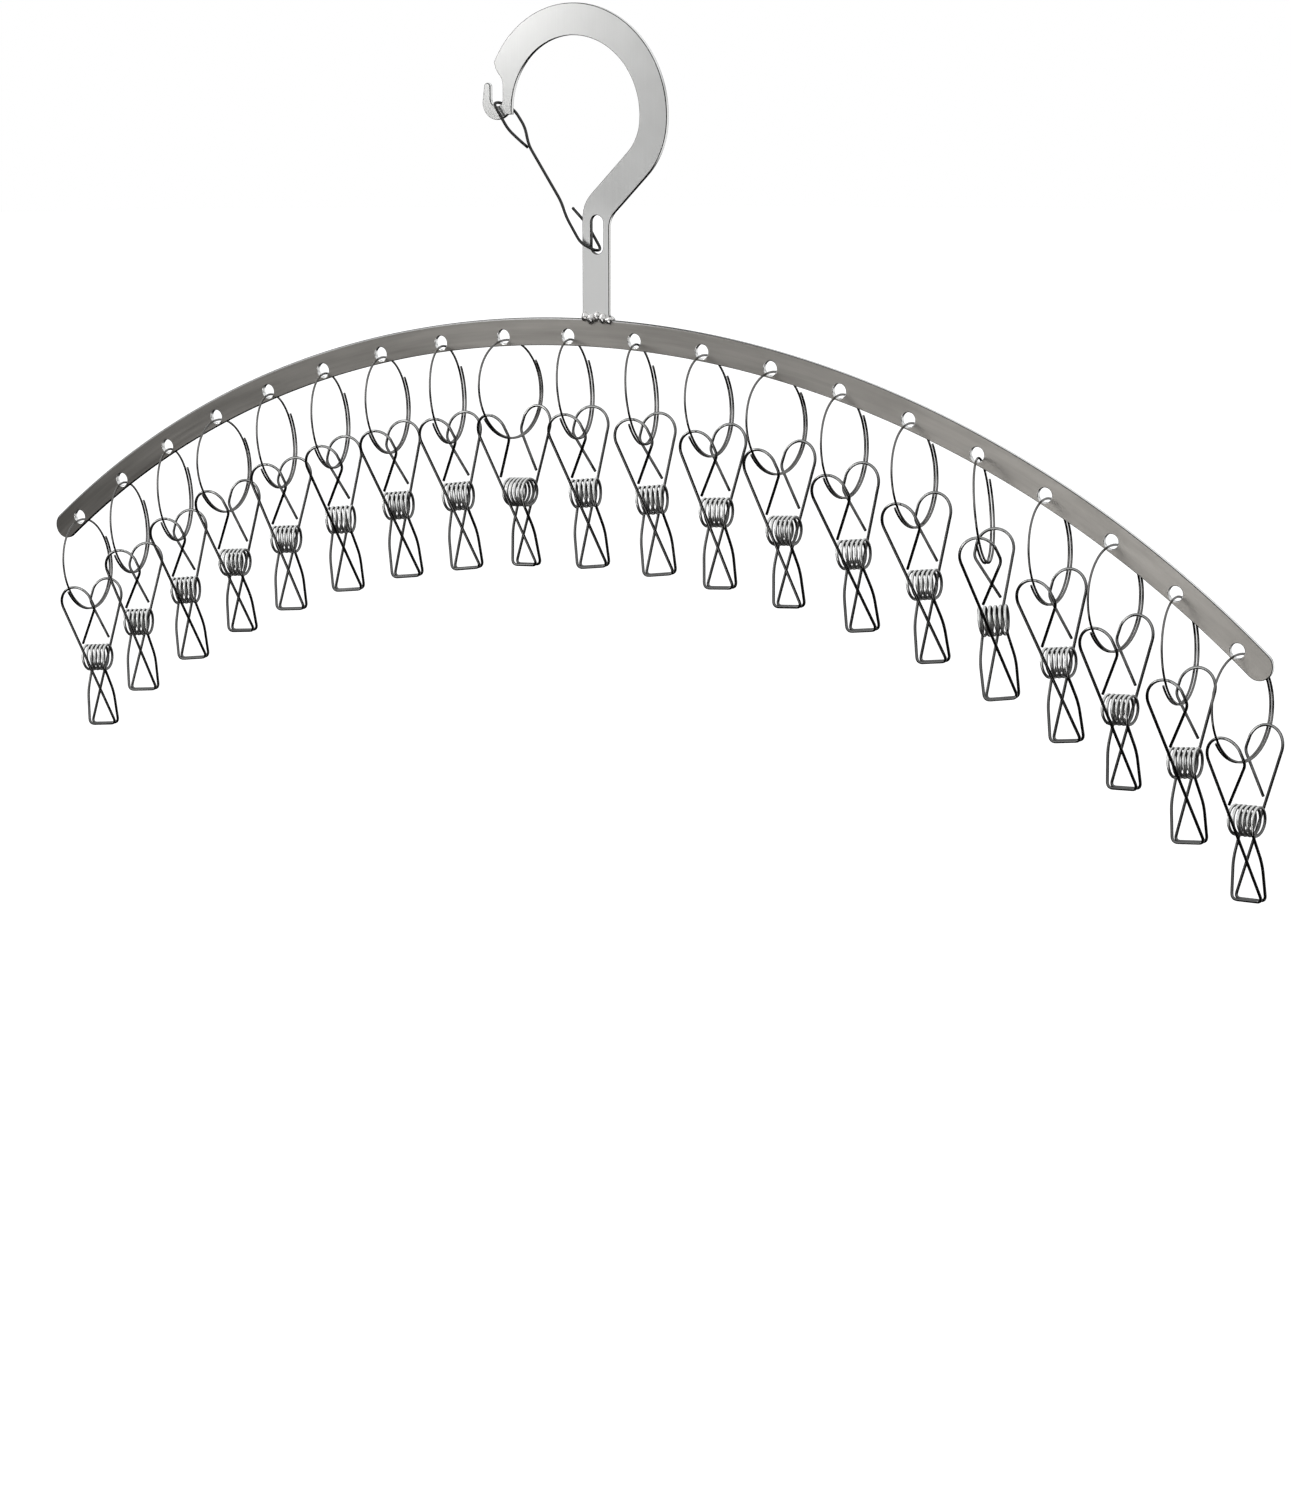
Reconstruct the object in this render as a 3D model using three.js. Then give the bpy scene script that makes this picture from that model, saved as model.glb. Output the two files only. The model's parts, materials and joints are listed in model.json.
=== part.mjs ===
// Clip drying hanger: a curved, perforated steel strip under a flat wall-to-rail hook, a wire gate
// that closes the hook, and twenty wire clips, each hanging on its own split ring.
//
// Frame, millimetres: the origin is the inner crown of the hook, where it sits on its rail.
// +X runs along the strip, -Y is the front, +Z is up.

import * as THREE from "three";

const TAU = 2 * Math.PI;
const rad = THREE.MathUtils.degToRad;

// ---------------------------------------------------------------- driving dimensions

const PLATE_THICK = 1.5;
const WELD_GAP = 0.3;

// Perforated strip. Its holes lie on one circle, and its edges are concentric with that circle.
const HOLE_COUNT = 20;
const HOLE_PITCH = 26;
const HOLE_RADIUS = 2.4;
const HOLE_CIRCLE_RADIUS = 365;
const HOLE_APEX = { x: 10, z: -98 };
const METAL_ABOVE_HOLE = 6.0;
const METAL_BELOW_HOLE = 3.2;
const END_MARGIN = 12.5;

// Flat hook.
const HOOK_INNER = 25;
const HOOK_BAND = 10.4;
const HOOK_CENTRE = { x: 0, z: -HOOK_INNER };
const SHOULDER_TURN = 154;
const BEND_TURN = -4;
const BEND_INNER = 16;
const STEM_X = 8;
const SLOT = { x: 8.5, top: -57.8, foot: -70.5, width: 4.8 };
const NECK_X = -28.4;
const NOTCH = { x: -30.9, z: -21.3, radius: 2.5 };
const CATCH_TIP = { x: -34.6, z: -17.4, radius: 1.2 };
const CATCH_OUTER = { x: -30.9, z: -22.6, radius: 5.6 };

// Wires.
const GATE_WIRE = 1.4;
const GATE_OFFSET = 1.85;
const RING_WIRE = 1.1;
const RING_RADIUS = 16.5;
const RING_TURNS = 1.5;
const RING_PITCH = 1.55;
const RING_START = 210;
const RING_DROP_IN_HOLE = 1.2;
const CLIP_WIRE = 1.4;

// Wire clip, measured from the middle of its coil.
const COIL_RADIUS = 4.5;
const COIL_TURNS = 5.5;
const COIL_PITCH = 1.8;
const COIL_SPLIT = 4;
const COIL_TO_RING_CENTRE = 35;
const JAW_DEPTH = 24.9;
const JAW_HALF_WIDTH = 5.4;
const JAW_HALF_GAP = 1;
const SHOULDER_DEPTH = 12.7;
const SHOULDER_HALF_WIDTH = 6.1;
const ARM_SLOPE = 0.22;
const HANDLE_RADIUS = 6.1;
const HANDLE_CROWN = { x: -0.4, z: 21.7 };
const HANDLE_CORNER = { x: 6.5, z: 19.8 };
const HANDLE_END = { x: -0.6, z: 7 };

// How each chain hangs, first to last hole, in degrees: the ring's turn from square to the strip and
// its lean towards +X, then the clip's own tilt towards +X, its twist and its swing on the ring.
const TURN = [10, 17, 19, 5, 15, 15, 10, 15, -5, 13, 15, 4, -5, 3, 3, 18, 3, -5, 5, -10];
const LEAN = [7, 7, 6.5, 7, 8, 6.5, 6, 6, 7, 7, 7.5, 7.5, 6.5, 5, 6.5, 7.5, 6, 5, 5.5, 6.5];
const CLIP_TILT = [-1.5, -2.5, 0, -1.5, -3, -0.5, 1, 2, -2, 0, 0, -3, -1, 3, 2, 0.5, 2.5, 0, 0.5, -2];
const CLIP_TWIST = [4, 2, 0, 3, -0.5, 4, 4, -3, -0.5, 0, -3, 1.5, 3, 0.5, -2, -2, -3, 0, -4, 2];
const CLIP_SWING = [-1, -1.5, 0, 1.5, -1, 1.5, 1.5, -1, 0.5, 0, -1.5, -1.5, -1, 1.5, 0, -1, -1, 0, -1.5, -1.5];

// The clips that stay in one piece, so that the whole model keeps to sixty nodes.
const ONE_PIECE_CLIPS = [3, 10, 18];

// ---------------------------------------------------------------- materials

function steel(color, roughness) {
  return new THREE.MeshStandardMaterial({ color, roughness, metalness: 1 });
}

// ---------------------------------------------------------------- wires

// A closed tube of four-sided section along a list of points.
function wire(points, diameter) {
  const sides = 4;
  const radius = 0.55 * diameter;
  const positions = [];
  const indices = [];
  const along = points.map((point, i) => {
    const before = points[Math.max(i - 1, 0)];
    const after = points[Math.min(i + 1, points.length - 1)];
    return after.clone().sub(before).normalize();
  });
  let normal = new THREE.Vector3(1, 0, 0);
  if (Math.abs(along[0].x) > 0.8) normal.set(0, 0, 1);

  points.forEach((point, i) => {
    normal = normal.clone().addScaledVector(along[i], -normal.dot(along[i])).normalize();
    const binormal = along[i].clone().cross(normal);
    for (let k = 0; k < sides; k++) {
      const turn = ((k + 0.5) / sides) * TAU;
      const corner = point.clone();
      corner.addScaledVector(normal, radius * Math.cos(turn));
      corner.addScaledVector(binormal, radius * Math.sin(turn));
      positions.push(corner.x, corner.y, corner.z);
    }
  });
  for (let i = 0; i < points.length - 1; i++) {
    for (let k = 0; k < sides; k++) {
      const a = i * sides + k;
      const b = i * sides + ((k + 1) % sides);
      indices.push(a, b, b + sides, a, b + sides, a + sides);
    }
  }
  const last = (points.length - 1) * sides;
  indices.push(0, 2, 1, 0, 3, 2);
  indices.push(last, last + 1, last + 2, last, last + 2, last + 3);

  const geometry = new THREE.BufferGeometry();
  geometry.setAttribute("position", new THREE.Float32BufferAttribute(positions, 3));
  geometry.setIndex(indices);
  return geometry;
}

// A polyline with each inner corner cut back and bent round.
function bent(corners, radius, steps = 2) {
  const points = [corners[0]];
  for (let i = 1; i < corners.length - 1; i++) {
    const corner = corners[i];
    const before = corners[i - 1].clone().sub(corner);
    const after = corners[i + 1].clone().sub(corner);
    const cut = Math.min(radius, 0.45 * before.length(), 0.45 * after.length());
    const start = corner.clone().addScaledVector(before.normalize(), cut);
    const end = corner.clone().addScaledVector(after.normalize(), cut);
    for (let k = 0; k <= steps; k++) {
      const t = k / steps;
      const point = start.clone().multiplyScalar((1 - t) ** 2);
      points.push(point.addScaledVector(corner, 2 * t * (1 - t)).addScaledVector(end, t * t));
    }
  }
  points.push(corners[corners.length - 1]);
  return points;
}

// ---------------------------------------------------------------- flat plates

// An outline drawn in X and Z, made into a plate whose middle plane is Y = 0.
function plate(outline, holes) {
  const shape = new THREE.Shape(outline);
  shape.holes = holes.map((hole) => new THREE.Path(hole));
  const geometry = new THREE.ExtrudeGeometry(shape, { depth: PLATE_THICK, bevelEnabled: false });
  geometry.translate(0, 0, -PLATE_THICK / 2);
  geometry.rotateX(Math.PI / 2);
  return geometry;
}

function arc(centre, radius, from, to, steps) {
  return Array.from({ length: steps + 1 }, (_, i) => {
    const turn = rad(from + ((to - from) * i) / steps);
    return new THREE.Vector2(centre.x + radius * Math.cos(turn), centre.z + radius * Math.sin(turn));
  });
}

// ---------------------------------------------------------------- perforated strip

function holeTurn(number) {
  return ((number - (HOLE_COUNT + 1) / 2) * HOLE_PITCH) / HOLE_CIRCLE_RADIUS;
}

function onStrip(turn, radius) {
  const x = HOLE_APEX.x + radius * Math.sin(turn);
  const z = HOLE_APEX.z - HOLE_CIRCLE_RADIUS + radius * Math.cos(turn);
  return { x, z };
}

function stripGeometry() {
  const top = HOLE_CIRCLE_RADIUS + METAL_ABOVE_HOLE;
  const foot = HOLE_CIRCLE_RADIUS - METAL_BELOW_HOLE;
  const endRadius = (top - foot) / 2;
  const halfTurn = holeTurn(HOLE_COUNT) + (END_MARGIN - endRadius) / HOLE_CIRCLE_RADIUS;
  const tilt = THREE.MathUtils.radToDeg(halfTurn);
  const centre = onStrip(0, 0);
  const rightEnd = onStrip(halfTurn, foot + endRadius);
  const leftEnd = onStrip(-halfTurn, foot + endRadius);
  const outline = [
    ...arc(centre, foot, 90 + tilt, 90 - tilt, 40),
    ...arc(rightEnd, endRadius, -90 - tilt, 90 - tilt, 6).slice(1, -1),
    ...arc(centre, top, 90 - tilt, 90 + tilt, 40),
    ...arc(leftEnd, endRadius, 90 + tilt, 270 + tilt, 6).slice(1, -1),
  ];
  const holes = [];
  for (let number = 1; number <= HOLE_COUNT; number++) {
    const place = onStrip(holeTurn(number), HOLE_CIRCLE_RADIUS);
    holes.push(arc(place, HOLE_RADIUS * 1.04, 18, 378, 10).slice(0, -1));
  }
  return plate(outline, holes);
}

// ---------------------------------------------------------------- flat hook

// The inner edge of the round part. Its facets straddle the crown, so the rail seat is truly flat.
function crownEdge() {
  const step = 10;
  const radius = HOOK_INNER / Math.cos(rad(step / 2));
  return [...arc(HOOK_CENTRE, radius, 185, 5, 180 / step), ...arc(HOOK_CENTRE, radius, BEND_TURN, BEND_TURN, 1).slice(1)];
}

function hookGeometry() {
  const shift = HOOK_INNER - BEND_INNER;
  const bendCentre = {
    x: HOOK_CENTRE.x + shift * Math.cos(rad(BEND_TURN)),
    z: HOOK_CENTRE.z + shift * Math.sin(rad(BEND_TURN)),
  };
  const left = STEM_X - HOOK_BAND / 2;
  const right = STEM_X + HOOK_BAND / 2;
  const foot = HOLE_APEX.z + METAL_ABOVE_HOLE + WELD_GAP;

  const outerEdge = [
    ...arc(bendCentre, BEND_INNER + HOOK_BAND, -45, BEND_TURN, 4),
    ...arc(HOOK_CENTRE, HOOK_INNER + HOOK_BAND, BEND_TURN, SHOULDER_TURN, 16).slice(1),
  ];
  const innerEdge = [...crownEdge(), ...arc(bendCentre, BEND_INNER, BEND_TURN, -45, 4).slice(1)];
  const catchEdge = [
    new THREE.Vector2(NECK_X, CATCH_TIP.z + 2.4),
    ...arc(NOTCH, NOTCH.radius, 0, -180, 6),
    ...arc(CATCH_TIP, CATCH_TIP.radius, 0, 180, 4),
    ...arc(CATCH_OUTER, CATCH_OUTER.radius, 180, 320, 6),
  ];
  const slantTop = outerEdge[0];
  const slantFoot = innerEdge[innerEdge.length - 1];
  const outline = [
    new THREE.Vector2(right, foot),
    ...bent(
      [new THREE.Vector2(right, foot), new THREE.Vector2(right, slantTop.y - slantTop.x + right), slantTop],
      3,
    ).slice(1),
    ...outerEdge.slice(1),
    ...catchEdge,
    ...innerEdge,
    ...bent(
      [slantFoot, new THREE.Vector2(left, slantFoot.y - slantFoot.x + left), new THREE.Vector2(left, foot)],
      4,
    ).slice(1),
  ];
  const round = SLOT.width / 2;
  const slot = [
    ...arc({ x: SLOT.x, z: SLOT.top - round }, round, 0, 180, 6),
    ...arc({ x: SLOT.x, z: SLOT.foot + round }, round, 180, 360, 6),
  ];
  return plate(outline, [slot]);
}

// ---------------------------------------------------------------- wire gate

// The gate is bent from one wire: its upper eye straddles the hook's neck and lies in the notch,
// and its lower eye passes through the stem's slot.
function gateGeometry() {
  const front = -GATE_OFFSET;
  const back = GATE_OFFSET;
  const corners = [
    [-20.9, front, -34.6],
    [-25.6, front, -31.0],
    [-31.3, front, -22.7],
    [-31.3, back, -22.5],
    [-25.4, back, -24.9],
    [-21.2, 1.6, -30.2],
    [-19.2, 0.9, -36.2],
    [-5.4, -0.9, -53.8],
    [-2.6, front, -59.0],
    [2.8, front, -67.0],
    [8.6, front, -69.3],
    [8.6, back, -69.3],
    [3.4, back, -61.5],
    [-2.7, back, -56.0],
  ].map((place) => new THREE.Vector3(...place));
  return wire(bent(corners, 1.5), GATE_WIRE);
}

// ---------------------------------------------------------------- rings and clips

// A split ring about its own centre: its axis is X, and it stands in the Y-Z plane.
function ringGeometry() {
  const steps = 24;
  const sweep = 360 * RING_TURNS;
  const radius = RING_RADIUS / Math.cos(rad(sweep / steps / 2));
  const points = [];
  for (let i = 0; i <= steps; i++) {
    const turn = rad(RING_START + (sweep * i) / steps);
    const across = RING_PITCH * RING_TURNS * (i / steps - 0.5);
    points.push(new THREE.Vector3(across, radius * Math.cos(turn), radius * Math.sin(turn)));
  }
  return wire(points, RING_WIRE);
}

// How far in front of the coil's axis the front arm runs at a given height.
function armFront(height) {
  return -JAW_HALF_GAP - ARM_SLOPE * (height + JAW_DEPTH);
}

function onArm(across, height) {
  return new THREE.Vector3(across, armFront(height), height);
}

// The front arm, from the free end of its handle round to the jaw and up to the coil.
function armPoints() {
  const end = onArm(HANDLE_END.x, HANDLE_END.z);
  const corner = onArm(HANDLE_CORNER.x, HANDLE_CORNER.z);
  const crown = arc(HANDLE_CROWN, HANDLE_RADIUS, 25, 194, 5).map((point) => onArm(point.x, point.y));
  const handle = [...bent([end, corner, crown[0]], 1.4), ...crown.slice(1, -1)];
  const coilEnd = -(COIL_TURNS * COIL_PITCH) / 2;
  const legFront = (height) => -JAW_HALF_GAP + (COIL_RADIUS + JAW_HALF_GAP) * (1 + height / JAW_DEPTH);
  const jaw = [
    crown.at(-1),
    onArm(JAW_HALF_WIDTH, -JAW_DEPTH),
    onArm(-JAW_HALF_WIDTH, -JAW_DEPTH),
    new THREE.Vector3(-SHOULDER_HALF_WIDTH, legFront(-SHOULDER_DEPTH), -SHOULDER_DEPTH),
    new THREE.Vector3(coilEnd - 0.2, COIL_RADIUS, -3),
    new THREE.Vector3(coilEnd, COIL_RADIUS, 0),
  ];
  return [...handle, ...bent(jaw, 1.6)];
}

// Points of the coil, from its left end, whose wire comes up behind the axis and turns forwards.
function coilPoints(degrees) {
  const stepsPerTurn = 7;
  const steps = Math.round((degrees / 360) * stepsPerTurn);
  const points = [];
  for (let i = 1; i <= steps; i++) {
    const turn = rad((degrees * i) / steps);
    const across = COIL_PITCH * (turn / TAU - COIL_TURNS / 2);
    points.push(new THREE.Vector3(across, COIL_RADIUS * Math.cos(turn), COIL_RADIUS * Math.sin(turn)));
  }
  return points;
}

function halfClipGeometry() {
  const halfCoil = coilPoints(180 * COIL_TURNS - COIL_SPLIT);
  return wire([...armPoints(), ...halfCoil], CLIP_WIRE);
}

function wholeClipGeometry() {
  const front = armPoints();
  const back = front.map((point) => new THREE.Vector3(-point.x, -point.y, point.z)).reverse();
  const coil = coilPoints(360 * COIL_TURNS).slice(0, -1);
  return wire([...front, ...coil, ...back], CLIP_WIRE);
}

// ---------------------------------------------------------------- assembly

const hanger = new THREE.Group();

function addNode(parent, name, geometry, material) {
  const mesh = new THREE.Mesh(geometry, material);
  mesh.name = name;
  parent.add(mesh);
  return mesh;
}

addNode(hanger, "arc_bar", stripGeometry(), steel(0x77736e, 0.42));
addNode(hanger, "hook_plate", hookGeometry(), steel(0xb4b4b2, 0.38));
addNode(hanger, "gate_wire", gateGeometry(), steel(0xd0d0ce, 0.2));

for (let number = 1; number <= HOLE_COUNT; number++) {
  const label = String(number).padStart(2, "0");
  const place = onStrip(holeTurn(number), HOLE_CIRCLE_RADIUS);
  const chain = new THREE.Group();
  chain.position.set(place.x, 0, place.z - RING_DROP_IN_HOLE);
  chain.rotation.set(0, rad(-LEAN[number - 1]), rad(TURN[number - 1]), "YZX");
  hanger.add(chain);

  const ring = addNode(chain, `split_ring_${label}`, ringGeometry(), steel(0xcfcfcc, 0.18));
  ring.position.z = -RING_RADIUS;
  const pivot = new THREE.Group();
  pivot.position.z = -2 * RING_RADIUS;
  pivot.rotation.set(rad(CLIP_SWING[number - 1]), rad(-CLIP_TILT[number - 1]), rad(CLIP_TWIST[number - 1]));
  chain.add(pivot);
  const clip = new THREE.Group();
  clip.position.z = RING_RADIUS - COIL_TO_RING_CENTRE;
  pivot.add(clip);
  if (ONE_PIECE_CLIPS.includes(number)) {
    addNode(clip, `clip_${label}`, wholeClipGeometry(), steel(0xdadad8, 0.16));
  } else {
    addNode(clip, `clip_${label}_front`, halfClipGeometry(), steel(0xdadad8, 0.16));
    const rear = addNode(clip, `clip_${label}_rear`, halfClipGeometry(), steel(0xdadad8, 0.16));
    rear.rotation.z = Math.PI;
  }
}

export default hanger;
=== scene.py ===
"""The looks of the clip drying hanger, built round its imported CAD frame.

Sizes are millimetres turned into metres by MM. The frame's origin is the inner crown of the hook,
+X runs along the strip, -Y is the front and +Z is up.
"""

import json
import math

import bpy
from mathutils import Matrix, Vector, geometry, noise


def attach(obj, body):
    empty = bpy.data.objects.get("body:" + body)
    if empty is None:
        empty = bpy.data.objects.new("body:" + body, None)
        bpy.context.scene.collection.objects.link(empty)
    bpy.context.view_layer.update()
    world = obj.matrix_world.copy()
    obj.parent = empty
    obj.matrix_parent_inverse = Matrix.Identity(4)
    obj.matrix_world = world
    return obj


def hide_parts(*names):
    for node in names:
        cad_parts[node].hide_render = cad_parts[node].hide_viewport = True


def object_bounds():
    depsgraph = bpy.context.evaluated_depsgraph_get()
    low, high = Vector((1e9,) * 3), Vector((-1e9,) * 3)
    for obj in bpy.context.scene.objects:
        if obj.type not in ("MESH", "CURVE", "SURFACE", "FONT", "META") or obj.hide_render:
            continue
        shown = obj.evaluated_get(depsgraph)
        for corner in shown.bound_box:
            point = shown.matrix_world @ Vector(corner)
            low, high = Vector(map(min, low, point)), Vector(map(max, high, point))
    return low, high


MM = 0.001

# ---------------------------------------------------------------- driving dimensions

PLATE_THICK = 1.5
PLATE_BEVEL = 0.22

HOLE_COUNT = 20
HOLE_PITCH = 26.0
HOLE_RADIUS = 2.4
HOLE_CIRCLE_RADIUS = 365.0
HOLE_APEX = (10.0, -98.0)
METAL_ABOVE_HOLE = 6.0
METAL_BELOW_HOLE = 3.2
END_MARGIN = 12.5

HOOK_INNER = 25.0
HOOK_BAND = 10.4
HOOK_CENTRE = (0.0, -HOOK_INNER)
SHOULDER_TURN = 154.0
BEND_TURN = -4.0
BEND_INNER = 16.0
STEM_X = 8.0
SLOT_X = 8.5
SLOT_TOP = -57.8
SLOT_FOOT = -70.5
SLOT_WIDTH = 4.8
NECK_X = -28.4
NOTCH = (-30.9, -21.3)
NOTCH_RADIUS = 2.5
CATCH_TIP = (-34.6, -17.4)
CATCH_TIP_RADIUS = 1.2
CATCH_OUTER = (-30.9, -22.6)
CATCH_OUTER_RADIUS = 5.6

GATE_RADIUS = 0.5
GATE_OFFSET = 1.85

RING_WIRE_RADIUS = 0.38
RING_RADIUS = 16.5
RING_TURNS = 1.5
RING_PITCH = 0.98
RING_START = 210.0

CLIP_WIRE_RADIUS = 0.5
COIL_TO_RING_CENTRE = 35.0
COIL_RADIUS = 4.5
COIL_TURNS = 5.5
COIL_PITCH = 1.68
JAW_DEPTH = 24.9
JAW_HALF_WIDTH = 5.4
JAW_HALF_GAP = 1.0
SHOULDER_DEPTH = 12.7
SHOULDER_HALF_WIDTH = 6.1
ARM_SLOPE = 0.22
HANDLE_RADIUS = 6.1
HANDLE_CROWN = (-0.4, 21.7)
HANDLE_CORNER = (6.5, 19.8)
HANDLE_END = (-1.4, 6.2)


WELD_BEADS = [
    ((3.9, -0.9, -91.3), (1.35, 0.95, 1.55)),
    ((6.3, -1.05, -91.9), (1.5, 1.05, 1.6)),
    ((8.6, -0.9, -91.0), (1.2, 0.9, 1.6)),
    ((10.8, -1.0, -91.5), (1.45, 1.0, 1.7)),
    ((13.2, -0.9, -92.1), (1.35, 0.95, 1.35)),
]

# ---------------------------------------------------------------- small tools


def polar(centre, radius, degrees):
    turn = math.radians(degrees)
    return (centre[0] + radius * math.cos(turn), centre[1] + radius * math.sin(turn))


def arc(centre, radius, start, end, steps):
    return [polar(centre, radius, start + (end - start) * i / steps) for i in range(steps + 1)]


def bent(corners, radius, steps=6):
    """A polyline with each inner corner bent round. radius may be one number or one per corner."""
    radii = radius if isinstance(radius, (list, tuple)) else [radius] * (len(corners) - 2)
    corners = [Vector(corner) for corner in corners]
    points = [corners[0]]
    for before, corner, after, reach in zip(corners, corners[1:], corners[2:], radii):
        to_before = before - corner
        to_after = after - corner
        cut = min(reach, 0.48 * to_before.length, 0.48 * to_after.length)
        start = corner + to_before.normalized() * cut
        end = corner + to_after.normalized() * cut
        for i in range(steps + 1):
            t = i / steps
            points.append(start * (1 - t) ** 2 + corner * 2 * t * (1 - t) + end * t * t)
    points.append(corners[-1])
    return points


def new_object(name, vertices, faces, materials, sharp=35.0):
    """A smooth-shaded mesh object, creased where faces meet at more than the sharp angle."""
    mesh = bpy.data.meshes.new(name)
    mesh.from_pydata([tuple(v) for v in vertices], [], faces)
    mesh.validate()
    mesh.polygons.foreach_set("use_smooth", [True] * len(mesh.polygons))
    mesh.set_sharp_from_angle(angle=math.radians(sharp))
    for material in materials:
        mesh.materials.append(material)
    piece = bpy.data.objects.new(name, mesh)
    bpy.context.scene.collection.objects.link(piece)
    return piece


def tube_mesh(points, radius, sides=12):
    """Vertices and faces of a round wire along points, its cut ends slightly broken, in metres."""
    points = [Vector(point) for point in points]
    first = (points[0] - points[1]).normalized()
    last = (points[-1] - points[-2]).normalized()
    rim = 0.35 * radius
    stations = [(points[0], 0.6 * radius), (points[0] - first * rim * 0.8, radius)]
    stations += [(point, radius) for point in points[1:-1]]
    stations += [(points[-1] - last * rim * 0.8, radius), (points[-1], 0.6 * radius)]
    places = [station[0] for station in stations]

    vertices = []
    normal = None
    for i, (place, width) in enumerate(stations):
        along = (places[min(i + 1, len(places) - 1)] - places[max(i - 1, 0)]).normalized()
        if normal is None:
            normal = along.orthogonal()
        normal = (normal - along * normal.dot(along)).normalized()
        side = along.cross(normal)
        for k in range(sides):
            turn = 2 * math.pi * k / sides
            offset = normal * math.cos(turn) + side * math.sin(turn)
            vertices.append((place + offset * width) * MM)

    faces = []
    for i in range(len(stations) - 1):
        for k in range(sides):
            a = i * sides + k
            b = i * sides + (k + 1) % sides
            faces.append((a, b, b + sides, a + sides))
    faces.append(tuple(reversed(range(sides))))
    start = (len(stations) - 1) * sides
    faces.append(tuple(range(start, start + sides)))
    return vertices, faces


def inset(loop, distance):
    """A closed outline moved inwards, towards the left of its direction of travel."""
    moved = []
    count = len(loop)
    for i in range(count):
        before = Vector(loop[i]) - Vector(loop[i - 1])
        after = Vector(loop[(i + 1) % count]) - Vector(loop[i])
        left_before = Vector((-before.y, before.x)).normalized()
        left_after = Vector((-after.y, after.x)).normalized()
        left = (left_before + left_after).normalized()
        stretch = 1 / max(left.dot(left_after), 0.5)
        moved.append(Vector(loop[i]) + left * distance * stretch)
    return moved


def plate_piece(name, outline, holes, face_material, edge_material, hole_material):
    """A flat plate in X and Z with softly broken edges. The outline runs anticlockwise, holes clockwise."""
    half = PLATE_THICK / 2
    break_steps = 3
    levels = []
    for i in range(break_steps + 1):
        turn = math.pi / 2 * i / break_steps
        levels.append((-half + PLATE_BEVEL * (1 - math.sin(turn)), PLATE_BEVEL * (1 - math.cos(turn))))
    levels = levels[::-1] + [(-y, d) for y, d in levels]

    vertices = []
    faces = []
    front_loops = []
    starts = []
    for loop in [outline, *holes]:
        start = len(vertices)
        starts.append(start)
        count = len(loop)
        for y, distance in levels:
            vertices += [Vector((p.x, y, p.y)) * MM for p in inset(loop, distance)]
        for level in range(len(levels) - 1):
            for k in range(count):
                a = start + level * count + k
                b = start + level * count + (k + 1) % count
                faces.append((a, b, b + count, a + count))
        front_loops.append([Vector((p.x, p.y, 0)) for p in inset(loop, levels[0][1])])

    index = []
    for start, loop in zip(starts, front_loops):
        index += [(start + k, start + (len(levels) - 1) * len(loop) + k) for k in range(len(loop))]
    edge_faces = len(faces)
    rim_faces = (len(levels) - 1) * len(outline)
    for a, b, c in geometry.tessellate_polygon(front_loops):
        corners = [Vector(vertices[index[i][0]]) for i in (a, b, c)]
        facing = (corners[1] - corners[0]).cross(corners[2] - corners[0]).y
        front = (a, b, c) if facing < 0 else (a, c, b)
        faces.append(tuple(index[i][0] for i in front))
        faces.append(tuple(index[i][1] for i in reversed(front)))
    piece = new_object(name, vertices, faces, [face_material, edge_material, hole_material], sharp=50.0)
    for polygon in piece.data.polygons[:edge_faces]:
        polygon.material_index = 1 if polygon.index < rim_faces else 2
    return piece


# ---------------------------------------------------------------- materials


def steel(name, colour, roughness, anisotropic=0.0):
    """A stainless material: its shader, and its node tree for the caller to add detail to."""
    material = bpy.data.materials.new(name)
    material.use_nodes = True
    tree = material.node_tree
    shader = tree.nodes["Principled BSDF"]
    shader.inputs["Metallic"].default_value = 1.0
    shader.inputs["Base Color"].default_value = (*colour, 1)
    shader.inputs["Roughness"].default_value = roughness
    shader.inputs["Anisotropic"].default_value = anisotropic
    return material, tree, shader


def node(tree, kind, inputs=None, **settings):
    """A new node. Its inputs are sockets to link or values to set."""
    made = tree.nodes.new(kind)
    for key, value in settings.items():
        setattr(made, key, value)
    for key, value in (inputs or {}).items():
        if isinstance(value, bpy.types.NodeSocket):
            tree.links.new(value, made.inputs[key])
        else:
            made.inputs[key].default_value = value
    return made


def maths(tree, operation, a, b=0.0):
    return node(tree, "ShaderNodeMath", {0: a, 1: b}, operation=operation).outputs[0]


def ramp(tree, factor, low, high):
    """Maps 0..1 to low..high."""
    made = node(tree, "ShaderNodeMapRange", {"Value": factor, "To Min": low, "To Max": high})
    return made.outputs["Result"]


def smooth(tree, value, low, high):
    """0 below low, 1 above high, and an even change between."""
    made = node(
        tree,
        "ShaderNodeMapRange",
        {"Value": value, "From Min": low, "From Max": high},
        interpolation_type="SMOOTHSTEP",
    )
    return made.outputs["Result"]


def tint(tree, factor, under, over):
    """One colour laid over another. Each is either three numbers or a socket."""
    made = node(tree, "ShaderNodeMix", {"Factor": factor}, data_type="RGBA")
    for name, colour in (("A", under), ("B", over)):
        if isinstance(colour, tuple):
            made.inputs[name].default_value = (*colour, 1)
        else:
            tree.links.new(colour, made.inputs[name])
    return made.outputs["Result"]


def product(tree, a, b):
    return maths(tree, "MULTIPLY", a, b)


def opposite(tree, value):
    return maths(tree, "SUBTRACT", 1.0, value)


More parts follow.
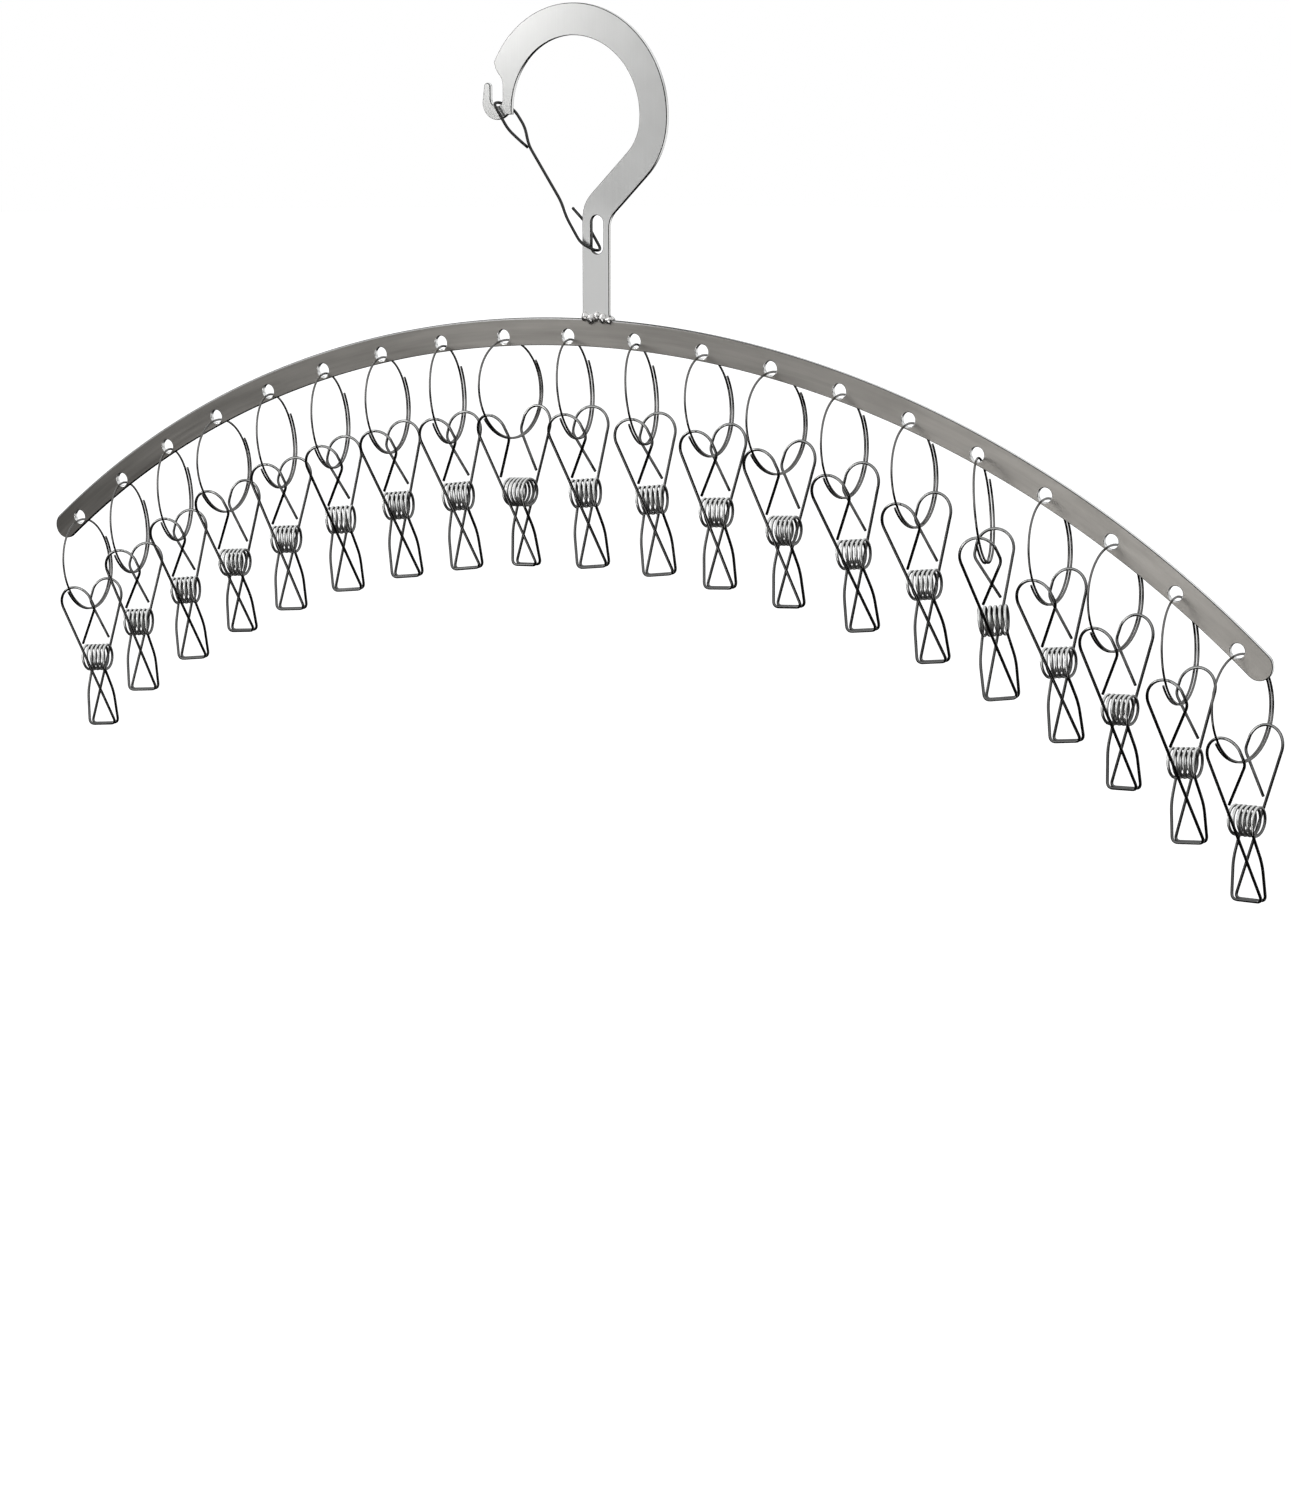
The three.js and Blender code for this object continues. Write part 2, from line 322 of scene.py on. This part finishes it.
def streaks(tree, along, across, length, width, seed=0.0):
    """Noise drawn out along one direction, as brushing and rolling leave it."""
    place = node(
        tree,
        "ShaderNodeCombineXYZ",
        {"X": maths(tree, "DIVIDE", along, length), "Y": maths(tree, "DIVIDE", across, width), "Z": seed},
    )
    grain = node(tree, "ShaderNodeTexNoise", {"Vector": place.outputs[0], "Scale": 1.0, "Detail": 3.0})
    return grain.outputs["Fac"]


def cloud(tree, place, size, detail=3.0):
    grain = node(tree, "ShaderNodeTexNoise", {"Vector": place, "Scale": 1 / size, "Detail": detail})
    return grain.outputs["Fac"]


def position(tree):
    """Object coordinates, which are the frame's own in metres, and their X, Y and Z."""
    place = node(tree, "ShaderNodeTexCoord").outputs["Object"]
    parts = node(tree, "ShaderNodeSeparateXYZ", {0: place})
    return place, parts.outputs["X"], parts.outputs["Y"], parts.outputs["Z"]


def off_axis(tree, a, b):
    """How far a point is from the axis that it stands a and b away from."""
    return maths(tree, "SQRT", maths(tree, "ADD", product(tree, a, a), product(tree, b, b)))


def bump(tree, shader, height, strength, depth):
    made = node(tree, "ShaderNodeBump", {"Height": height, "Strength": strength, "Distance": depth})
    tree.links.new(made.outputs["Normal"], shader.inputs["Normal"])


STRIP_DARK = (0.235, 0.223, 0.205)
STRIP_LIGHT = (0.565, 0.54, 0.505)
# colour of the painted highlight along the strip's top corner
STRIP_PAINTED_HIGHLIGHT = (0.97, 0.97, 0.96)
HOOK_DARK = (0.59, 0.59, 0.58)
HOOK_LIGHT = (0.73, 0.73, 0.72)
# colour of the painted light on the hook's lower stem
STEM_PAINTED_LIGHT = (0.86, 0.86, 0.85)
RIM_LIGHT = (0.92, 0.92, 0.91)
# colour of the painted shade on the rims
RIM_PAINTED_SHADE = (0.09, 0.09, 0.088)
# painted shade: the slot's wall is coloured near black for the shade inside the slot
SLOT_PAINTED_SHADE = (0.04, 0.04, 0.039)
SLOT_PAINTED_SHADE_LIGHT = (0.12, 0.12, 0.118)
HOLE_DARK = (0.78, 0.78, 0.77)
HOLE_LIGHT = (0.95, 0.95, 0.94)
GATE_COLOUR = (0.055, 0.055, 0.054)
RING_COLOUR = (0.2, 0.196, 0.19)
CLIP_DARK = (0.16, 0.16, 0.157)
# colour of the painted highlights on the clips
CLIP_PAINTED_HIGHLIGHT = (0.92, 0.92, 0.9)


def strip_steel():
    """Stainless strip, brushed along its own curve, with a painted highlight along its top corner on the
    left.
    """
    material, tree, shader = steel("strip_steel", (0.42, 0.4, 0.38), 0.36, 0.5)
    x, _, z = position(tree)[1:]
    dx = maths(tree, "SUBTRACT", x, HOLE_APEX[0] * MM)
    dz = maths(tree, "SUBTRACT", z, (HOLE_APEX[1] - HOLE_CIRCLE_RADIUS) * MM)
    along = product(tree, maths(tree, "ARCTAN2", dx, dz), HOLE_CIRCLE_RADIUS * MM)
    across = off_axis(tree, dx, dz)
    fine = streaks(tree, along, across, 22 * MM, 0.10 * MM)
    broad = streaks(tree, along, across, 60 * MM, 1.1 * MM, seed=4.0)
    patch = smooth(tree, streaks(tree, along, across, 34 * MM, 5 * MM, seed=9.0), 0.25, 0.75)
    mixed = maths(tree, "ADD", product(tree, fine, 0.5), product(tree, broad, 0.5))
    shade = maths(tree, "ADD", product(tree, mixed, 0.7), product(tree, patch, 0.3))
    brushed = tint(tree, shade, STRIP_DARK, STRIP_LIGHT)
    top = HOLE_CIRCLE_RADIUS + METAL_ABOVE_HOLE
    # painted highlight: a near-white line along the face's top corner, on the left of the strip only
    corner = smooth(tree, across, (top - 0.62) * MM, (top - 0.4) * MM)
    painted_highlight = product(tree, corner, opposite(tree, smooth(tree, x, 0, 60 * MM)))
    tree.links.new(tint(tree, painted_highlight, brushed, STRIP_PAINTED_HIGHLIGHT), shader.inputs["Base Color"])
    tree.links.new(ramp(tree, mixed, 0.24, 0.5), shader.inputs["Roughness"])
    bump(tree, shader, fine, 0.25, 0.02 * MM)
    radial = node(tree, "ShaderNodeCombineXYZ", {"X": dx, "Z": dz})
    outwards = node(tree, "ShaderNodeVectorMath", {0: radial.outputs[0]}, operation="NORMALIZE")
    tree.links.new(outwards.outputs[0], shader.inputs["Tangent"])
    return material


def hook_steel():
    """Stamped sheet with a bead-blasted satin face, faintly rolled up the stem, its lower stem lightened
    with painted light.
    """
    material, tree, shader = steel("hook_steel", (0.74, 0.74, 0.73), 0.42)
    place, x, _, z = position(tree)
    rolling = streaks(tree, z, x, 30 * MM, 0.5 * MM)
    grain = cloud(tree, place, 0.35 * MM)
    patch = cloud(tree, place, 12 * MM)
    shade = maths(tree, "ADD", product(tree, rolling, 0.4), product(tree, patch, 0.6))
    satin = tint(tree, shade, HOOK_DARK, HOOK_LIGHT)
    # painted light: the lower stem is made lighter, standing in for light falling on it
    stem = product(tree, smooth(tree, z, -50 * MM, -66 * MM), 0.7)
    tree.links.new(tint(tree, stem, satin, STEM_PAINTED_LIGHT), shader.inputs["Base Color"])
    tree.links.new(ramp(tree, shade, 0.34, 0.5), shader.inputs["Roughness"])
    bump(tree, shader, grain, 0.18, 0.015 * MM)
    return material


def wall_steel(name, dark, light):
    """The sheared wall of a punched hole or slot."""
    material, tree, shader = steel(name, light, 0.24)
    shear = cloud(tree, position(tree)[0], 0.9 * MM)
    tree.links.new(tint(tree, shear, dark, light), shader.inputs["Base Color"])
    tree.links.new(ramp(tree, shear, 0.14, 0.34), shader.inputs["Roughness"])
    bump(tree, shader, shear, 0.2, 0.03 * MM)
    return material


def rim_steel():
    """A plate's rolled rim: polished, with painted shade on its broken corners, and painted shade all along
    the strip's left.
    """
    material, tree, shader = steel("rolled_rim", RIM_LIGHT, 0.24)
    place, x, y, z = position(tree)
    # painted shade: the broken corners are darkened to draw the rim's dark outlines
    corner = smooth(tree, maths(tree, "ABSOLUTE", y), 0.42 * MM, 0.58 * MM)
    # painted shade: the strip's rim is darkened all along its left and middle
    on_strip_only = smooth(tree, z, -90 * MM, -91 * MM)
    darker = product(tree, on_strip_only, opposite(tree, smooth(tree, x, 20 * MM, 100 * MM)))
    dark = maths(tree, "MAXIMUM", corner, darker)
    tree.links.new(tint(tree, dark, RIM_LIGHT, RIM_PAINTED_SHADE), shader.inputs["Base Color"])
    tree.links.new(ramp(tree, cloud(tree, place, 0.9 * MM), 0.14, 0.34), shader.inputs["Roughness"])
    return material


def wire_steel(name, colour, low, high):
    """Drawn stainless wire: nearly a mirror, with faint die marks and dulled patches.

    Returns the material with its tree and shader, and the sockets of its colour and roughness.
    """
    material, tree, shader = steel(name, colour, (low + high) / 2)
    place = position(tree)[0]
    wear = cloud(tree, place, 3.5 * MM)
    fine = cloud(tree, place, 0.4 * MM, 2.0)
    darker = tuple(0.82 * channel for channel in colour)
    shade = tint(tree, wear, darker, colour)
    shine = ramp(tree, wear, low, high)
    tree.links.new(shade, shader.inputs["Base Color"])
    tree.links.new(shine, shader.inputs["Roughness"])
    bump(tree, shader, fine, 0.12, 0.01 * MM)
    return material, tree, shader, shade, shine


def clip_steel():
    """The clips' wire: dark from its heat treatment, with painted highlights on the coil's outer sides and
    on the crowns, leaving painted shade where the coil's turns face each other.
    """
    material, tree, shader, shade, shine = wire_steel("clip_wire", CLIP_DARK, 0.06, 0.13)
    _, y, z = position(tree)[1:]
    normal = node(tree, "ShaderNodeTexCoord").outputs["Normal"]
    facing = node(tree, "ShaderNodeSeparateXYZ", {0: normal}).outputs
    radius = off_axis(tree, y, z)
    lift = maths(tree, "ADD", product(tree, facing["Y"], y), product(tree, facing["Z"], z))
    # painted highlight on the coil's outer sides; the sides facing the next turn stay dark as painted shade
    outer_side = smooth(tree, maths(tree, "DIVIDE", lift, radius), 0.35, 0.8)
    coil_rim = COIL_RADIUS + CLIP_WIRE_RADIUS
    coil = opposite(tree, smooth(tree, radius, (coil_rim + 0.1) * MM, (coil_rim + 0.6) * MM))
    turns = product(tree, maths(tree, "ADD", product(tree, outer_side, 0.95), 0.05), coil)
    # painted highlight on the crowns' faces that look forward and back
    front = smooth(tree, maths(tree, "ABSOLUTE", facing["Y"]), 0.5, 0.85)
    crown = product(tree, smooth(tree, z, 22 * MM, 26 * MM), product(tree, front, 0.35))
    painted_highlight = maths(tree, "MAXIMUM", turns, crown)
    tree.links.new(tint(tree, painted_highlight, shade, CLIP_PAINTED_HIGHLIGHT), shader.inputs["Base Color"])
    tree.links.new(maths(tree, "ADD", shine, product(tree, coil, 0.26)), shader.inputs["Roughness"])
    return material


def weld_steel():
    """Spot-weld beads: rippled, bright steel with random patches of heat tint."""
    material, tree, shader = steel("weld_steel", (0.92, 0.91, 0.89), 0.25)
    place = position(tree)[0]
    heat = cloud(tree, place, 1.6 * MM)
    tree.links.new(tint(tree, heat, (0.6, 0.58, 0.56), (0.97, 0.96, 0.95)), shader.inputs["Base Color"])
    tree.links.new(ramp(tree, heat, 0.14, 0.34), shader.inputs["Roughness"])
    bump(tree, shader, cloud(tree, place, 0.5 * MM), 0.5, 0.08 * MM)
    return material


# ---------------------------------------------------------------- strip and hook


def on_strip(turn, radius):
    """The point of the strip at an angle from its apex, in degrees."""
    centre = (HOLE_APEX[0], HOLE_APEX[1] - HOLE_CIRCLE_RADIUS)
    return polar(centre, radius, 90 - turn)


def strip_piece(face, edge, hole_wall):
    top = HOLE_CIRCLE_RADIUS + METAL_ABOVE_HOLE
    foot = HOLE_CIRCLE_RADIUS - METAL_BELOW_HOLE
    end_radius = (top - foot) / 2
    step = math.degrees(HOLE_PITCH / HOLE_CIRCLE_RADIUS)
    last_hole = step * (HOLE_COUNT - 1) / 2
    tilt = last_hole + math.degrees((END_MARGIN - end_radius) / HOLE_CIRCLE_RADIUS)
    centre = on_strip(0, 0)
    right_end = on_strip(tilt, foot + end_radius)
    left_end = on_strip(-tilt, foot + end_radius)
    outline = [
        *arc(centre, foot, 90 + tilt, 90 - tilt, 160),
        *arc(right_end, end_radius, -90 - tilt, 90 - tilt, 20)[1:-1],
        *arc(centre, top, 90 - tilt, 90 + tilt, 160),
        *arc(left_end, end_radius, 90 + tilt, 270 + tilt, 20)[1:-1],
    ]
    holes = []
    for number in range(HOLE_COUNT):
        place = on_strip(-last_hole + number * step, HOLE_CIRCLE_RADIUS)
        holes.append(arc(place, HOLE_RADIUS, 360, 0, 32)[:-1])
    return plate_piece("perforated_strip", outline, holes, face, edge, hole_wall)


def hook_piece(face, edge, slot_wall):
    shift = HOOK_INNER - BEND_INNER
    bend_centre = polar(HOOK_CENTRE, shift, BEND_TURN)
    outer = HOOK_INNER + HOOK_BAND
    left = STEM_X - HOOK_BAND / 2
    right = STEM_X + HOOK_BAND / 2
    foot = HOLE_APEX[1] + METAL_ABOVE_HOLE
    slant_top = polar(bend_centre, BEND_INNER + HOOK_BAND, -45)
    slant_foot = polar(bend_centre, BEND_INNER, -45)
    right_corner = (right, slant_top[1] - slant_top[0] + right)
    left_corner = (left, slant_foot[1] - slant_foot[0] + left)
    shoulder = polar(HOOK_CENTRE, outer, SHOULDER_TURN)
    outline = [
        *bent([(right, foot), right_corner, slant_top], 3.0),
        *arc(bend_centre, BEND_INNER + HOOK_BAND, -45, BEND_TURN, 14)[1:],
        *arc(HOOK_CENTRE, outer, BEND_TURN, SHOULDER_TURN, 70)[1:-1],
        *bent(
            [
                polar(HOOK_CENTRE, outer, SHOULDER_TURN - 1),
                shoulder,
                (shoulder[0] + 0.9, shoulder[1] - 2.6),
                (NECK_X, CATCH_TIP[1] + 2.4),
                (NECK_X, NOTCH[1] + 0.2),
            ],
            [1.2, 1.2, 1.6],
            4,
        )[1:-1],
        *arc(NOTCH, NOTCH_RADIUS, 0, -180, 16),
        *arc(CATCH_TIP, CATCH_TIP_RADIUS, 0, 180, 10),
        *arc(CATCH_OUTER, CATCH_OUTER_RADIUS, 180, 318, 20),
        *arc(HOOK_CENTRE, HOOK_INNER, 183, BEND_TURN, 80),
        *arc(bend_centre, BEND_INNER, BEND_TURN, -45, 12)[1:-1],
        *bent([slant_foot, left_corner, (left, foot)], 5.0),
    ]
    outline = [tuple(point[:2]) for point in outline]
    round_end = SLOT_WIDTH / 2
    slot = [
        *arc((SLOT_X, SLOT_TOP - round_end), round_end, 180, 0, 14),
        *arc((SLOT_X, SLOT_FOOT + round_end), round_end, 0, -180, 14),
    ]
    return plate_piece("hook", outline, [slot], face, edge, slot_wall)


def weld_bead(name, place, size, seed, material):
    """One lumpy bead of weld metal, flattened a little onto the plates."""
    vertices = []
    faces = []
    rows, columns = 10, 16
    for i in range(rows + 1):
        tilt = math.pi * i / rows
        for k in range(columns):
            turn = 2 * math.pi * k / columns
            way = Vector((math.sin(tilt) * math.cos(turn), math.sin(tilt) * math.sin(turn), math.cos(tilt)))
            lump = 1 + 0.28 * noise.noise(way * 1.4 + Vector((seed, 0, 0)))
            lump += 0.1 * noise.noise(way * 4 + Vector((0, seed, 0)))
            vertices.append((Vector(place) + way * Vector(size) * lump) * MM)
    for i in range(rows):
        for k in range(columns):
            a = i * columns + k
            b = i * columns + (k + 1) % columns
            faces.append((a, a + columns, b + columns, b))
    return new_object(name, vertices, faces, [material], sharp=180.0)


# ---------------------------------------------------------------- wires


def gate_points():
    front = -GATE_OFFSET
    back = GATE_OFFSET
    corners = [
        (-18.6, -0.35, -36.9),
        (-21.4, -1.5, -34.4),
        (-25.6, front, -31.0),
        (-31.3, front, -22.7),
        (-31.3, back, -22.5),
        (-25.4, back, -24.9),
        (-21.2, 1.6, -30.2),
        (-19.2, 0.9, -36.2),
        (-5.4, -0.9, -53.8),
        (-2.6, front, -59.0),
        (2.8, front, -67.0),
        (8.6, front, -69.3),
        (8.6, back, -69.3),
        (3.4, back, -61.5),
        (-2.7, back, -56.0),
    ]
    return bent(corners, 2.2)


def ring_points():
    """A split ring about its own centre, with its axis along X."""
    points = []
    steps = 96
    for i in range(steps + 1):
        turn = math.radians(RING_START + 360 * RING_TURNS * i / steps)
        across = RING_PITCH * RING_TURNS * (i / steps - 0.5)
        points.append((across, RING_RADIUS * math.cos(turn), RING_RADIUS * math.sin(turn)))
    return points


def arm_front(height):
    return -JAW_HALF_GAP - ARM_SLOPE * (height + JAW_DEPTH)


def on_arm(across, height):
    return Vector((across, arm_front(height), height))


def half_clip_points():
    """The front half of a clip's wire: handle, long arm, jaw, leg and half the coil."""
    handle = [on_arm(*place) for place in arc(HANDLE_CROWN, HANDLE_RADIUS, 25, 194, 20)]
    start = bent([on_arm(*HANDLE_END), on_arm(*HANDLE_CORNER), handle[0]], 1.6)
    coil_end = -COIL_TURNS * COIL_PITCH / 2

    def leg_front(height):
        return -JAW_HALF_GAP + (COIL_RADIUS + JAW_HALF_GAP) * (1 + height / JAW_DEPTH)

    jaw = bent(
        [
            handle[-1],
            on_arm(JAW_HALF_WIDTH, -JAW_DEPTH),
            on_arm(-JAW_HALF_WIDTH, -JAW_DEPTH),
            Vector((-SHOULDER_HALF_WIDTH, leg_front(-SHOULDER_DEPTH), -SHOULDER_DEPTH)),
            Vector((coil_end - 0.1, COIL_RADIUS, -3.4)),
            Vector((coil_end, COIL_RADIUS, 0)),
        ],
        [2.0, 2.0, 3.0, 3.0],
    )
    coil = []
    steps = 66
    sweep = 180 * COIL_TURNS
    for i in range(1, steps + 1):
        turn = math.radians(sweep * i / steps)
        across = coil_end + COIL_PITCH * turn / (2 * math.pi)
        coil.append(Vector((across, COIL_RADIUS * math.cos(turn), COIL_RADIUS * math.sin(turn))))
    return start[:-1] + handle + jaw[1:] + coil


def turned_frame(place, across, up):
    """A frame at a place, from its X axis and the way up."""
    back = up.cross(across).normalized()
    return Matrix.Translation(place) @ Matrix((across, back, across.cross(back))).transposed().to_4x4()


def chain_frames():
    """For each hole, from the frame's own joints: the frames of its ring and of its clip's coil."""
    joints = {joint["name"]: joint for joint in frame["joints"]}
    frames = {}
    for number in range(1, HOLE_COUNT + 1):
        label = f"{number:02d}"
        hole = Vector(joints[f"ring_{label}_swing"]["pos_m"])
        swing = joints[f"clip_{label}_swing"]
        centre = Vector(swing["pos_m"])
        across = Vector(swing["axis"]).normalized()
        up = (hole - centre).normalized()
        ring = turned_frame(centre, across, up)
        pivot = centre * 2 - hole
        opening = joints.get(f"clip_{label}_open")
        if opening:
            middle = Vector(opening["pos_m"])
            coil = turned_frame(middle, Vector(opening["axis"]).normalized(), (pivot - middle).normalized())
        else:
            coil = turned_frame(centre - up * COIL_TO_RING_CENTRE * MM, across, up)
        frames[label] = (ring, coil)
    return frames


def chain_pieces(ring_material, clip_material):
    ring_shape = tube_mesh(ring_points(), RING_WIRE_RADIUS, 10)
    half_shape = tube_mesh(half_clip_points(), CLIP_WIRE_RADIUS, 10)
    half_turn = Matrix.Rotation(math.pi, 4, "Z")
    for label, (ring_frame, coil_frame) in chain_frames().items():
        ring = new_object(f"ring_{label}", *ring_shape, [ring_material], sharp=60.0)
        ring.matrix_world = ring_frame
        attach(ring, f"ring_{label}")
        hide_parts(f"split_ring_{label}")

        front = new_object(f"clip_half_{label}_front", *half_shape, [clip_material], sharp=60.0)
        front.matrix_world = coil_frame
        rear = new_object(f"clip_half_{label}_rear", *half_shape, [clip_material], sharp=60.0)
        rear.matrix_world = coil_frame @ half_turn
        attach(front, f"clip_{label}")
        whole = f"clip_{label}" in frame["nodes"]
        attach(rear, f"clip_{label}" if whole else f"jaw_{label}")
        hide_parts(f"clip_{label}" if whole else f"clip_{label}_front")
        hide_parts(f"clip_{label}" if whole else f"clip_{label}_rear")


# ---------------------------------------------------------------- stage, light and camera

FLOOR_DROP = 0.55
FLOOR_RADIUS = 9.0
CAMERA_AZIMUTH = 31.94
CAMERA_ELEVATION = 13.44
CAMERA_PLACE = (0.6446, -0.9908, 0.0429)
FOCAL_PIXELS = 3558
IMAGE_HEIGHT = 1500
SENSOR = 36.0

ROOM_BELOW = (0.02, 0.019, 0.018)
ROOM_ABOVE = (0.86, 0.87, 0.88)
SCREEN_BLACK = (0.012, 0.012, 0.012)
# heights, directions and cosines of the directions' sides
CEILING_RISE = (0.05, 0.38)
WINDOW_WAY = (-40, 0)
WINDOW_SIDES = (0.4, 0.8)
CARD_WAY = (148, -13)
CARD_SIDES = (0.86, 0.96)
CARD_WHITE = (0.85, 0.85, 0.85)
WHITE = (1.0, 1.0, 1.0)


def stage(box):
    """A wide pale floor well below the clips. It is kept out of the mirror-bright wires."""
    low = box[0].z - FLOOR_DROP
    rim = arc((0, 0), FLOOR_RADIUS, 0, 360, 64)[:-1]
    paper = bpy.data.materials.new("paper")
    paper.use_nodes = True
    shader = paper.node_tree.nodes["Principled BSDF"]
    shader.inputs["Base Color"].default_value = (0.3, 0.3, 0.3, 1)
    shader.inputs["Roughness"].default_value = 0.95
    shader.inputs["Specular IOR Level"].default_value = 0.1
    shader.inputs["Emission Color"].default_value = (1, 1, 1, 1)
    shader.inputs["Emission Strength"].default_value = 0.9
    floor = new_object("floor", [(x, y, low) for x, y in rim], [tuple(range(len(rim)))], [paper])
    floor.visible_glossy = False


def compass(azimuth, elevation, distance):
    """A place seen from the object. Azimuth 0 is straight in front and grows to the right."""
    turn = math.radians(azimuth)
    rise = math.radians(elevation)
    flat = distance * math.cos(rise)
    return Vector((flat * math.sin(turn), -flat * math.cos(turn), distance * math.sin(rise)))


def softbox(name, place, target, size, power):
    light = bpy.data.lights.new(name, "AREA")
    light.shape = "RECTANGLE"
    light.size, light.size_y = size
    light.energy = power
    lamp = bpy.data.objects.new(name, light)
    lamp.location = place
    lamp.visible_camera = False
    lamp.rotation_euler = (Vector(target) - Vector(place)).to_track_quat("-Z", "Y").to_euler()
    bpy.context.scene.collection.objects.link(lamp)


def camera():
    lens = bpy.data.cameras.new("camera")
    lens.sensor_width = SENSOR
    lens.lens = SENSOR * FOCAL_PIXELS / IMAGE_HEIGHT
    made = bpy.data.objects.new("camera", lens)
    back = compass(CAMERA_AZIMUTH, CAMERA_ELEVATION, 1)
    made.location = CAMERA_PLACE
    made.rotation_mode = "QUATERNION"
    made.rotation_quaternion = (-back).to_track_quat("-Z", "Y")
    bpy.context.scene.collection.objects.link(made)
    bpy.context.scene.camera = made


def panel(tree, way, aim, sides):
    """1 in the directions near aim, 0 far from it. sides are the cosines where it ends and is full."""
    facing = node(tree, "ShaderNodeVectorMath", {0: way, 1: compass(*aim, 1)}, operation="DOT_PRODUCT")
    return smooth(tree, facing.outputs["Value"], *sides)


def studio():
    """Five lamps, and a world that is white for the camera and a room for everything else.

    The room is bright above and dark below, with a tall window to the front left, black screens
    round the rest of it at eye level, and a white card behind on the right.
    """
    world = bpy.data.worlds.new("studio")
    world.use_nodes = True
    tree = world.node_tree
    way = node(tree, "ShaderNodeTexCoord").outputs["Generated"]
    rise = node(tree, "ShaderNodeSeparateXYZ", {0: way}).outputs["Z"]
    ceiling = smooth(tree, rise, *CEILING_RISE)
    lit = maths(tree, "MAXIMUM", ceiling, panel(tree, way, WINDOW_WAY, WINDOW_SIDES))
    open_room = tint(tree, smooth(tree, rise, -0.25, 0.45), ROOM_BELOW, ROOM_ABOVE)
    screened = tint(tree, lit, SCREEN_BLACK, open_room)
    room = tint(tree, panel(tree, way, CARD_WAY, CARD_SIDES), screened, CARD_WHITE)
    seen = node(tree, "ShaderNodeLightPath").outputs["Is Camera Ray"]
    tree.links.new(tint(tree, seen, room, WHITE), tree.nodes["Background"].inputs["Color"])
    bpy.context.scene.world = world
    middle = (0, 0, -0.12)
    right_part = (0.12, 0, -0.15)
    softbox("far_left", compass(-55, 10, 1.5), middle, (0.5, 0.4), 2.4)
    softbox("low_front", compass(5, -25, 1.2), right_part, (0.5, 0.35), 1.3)
    softbox("low_left", compass(-15, -14, 1.2), right_part, (0.3, 0.25), 0.67)
    softbox("hook_glow", (-0.14, -0.13, 0.02), (-0.03, 0, -0.01), (0.06, 0.06), 0.05)
    softbox("stem_glow", (-0.2, -0.3, -0.13), (0.008, 0, -0.08), (0.06, 0.06), 0.018)



# ---------------------------------------------------------------- assembly

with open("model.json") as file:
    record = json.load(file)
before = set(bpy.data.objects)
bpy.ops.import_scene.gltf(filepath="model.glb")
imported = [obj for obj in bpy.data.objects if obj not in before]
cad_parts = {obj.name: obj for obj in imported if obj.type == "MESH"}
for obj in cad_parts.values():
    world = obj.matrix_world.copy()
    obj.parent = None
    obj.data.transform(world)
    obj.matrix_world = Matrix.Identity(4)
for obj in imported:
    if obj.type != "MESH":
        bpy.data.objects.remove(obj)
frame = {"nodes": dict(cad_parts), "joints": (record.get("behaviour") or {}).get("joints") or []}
cad_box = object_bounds()
bpy.context.scene.view_settings.view_transform = "Standard"

rim = rim_steel()
# the slot's wall takes the near-black painted shade colours
slot_wall = wall_steel("slot_wall", SLOT_PAINTED_SHADE, SLOT_PAINTED_SHADE_LIGHT)
hole_wall = wall_steel("punched_wall", HOLE_DARK, HOLE_LIGHT)
strip = strip_piece(strip_steel(), rim, hole_wall)
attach(strip, "hanger_frame")
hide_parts("arc_bar")

hook = hook_piece(hook_steel(), rim, slot_wall)
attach(hook, "hanger_frame")
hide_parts("hook_plate")

weld = weld_steel()
for i, (place, size) in enumerate(WELD_BEADS):
    for side, facing in (("front", 1), ("back", -1)):
        spot = (place[0], place[1] * facing, place[2])
        bead = weld_bead(f"weld_{side}_{i + 1}", spot, size, 3.7 * i + facing, weld)
        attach(bead, "hanger_frame")

gate_steel = wire_steel("gate_wire", GATE_COLOUR, 0.1, 0.2)[0]
gate = new_object("gate", *tube_mesh(gate_points(), GATE_RADIUS), [gate_steel], sharp=60.0)
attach(gate, "gate")
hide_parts("gate_wire")

ring_steel = wire_steel("ring_wire", RING_COLOUR, 0.06, 0.13)[0]
chain_pieces(ring_steel, clip_steel())

stage(cad_box)
studio()
camera()
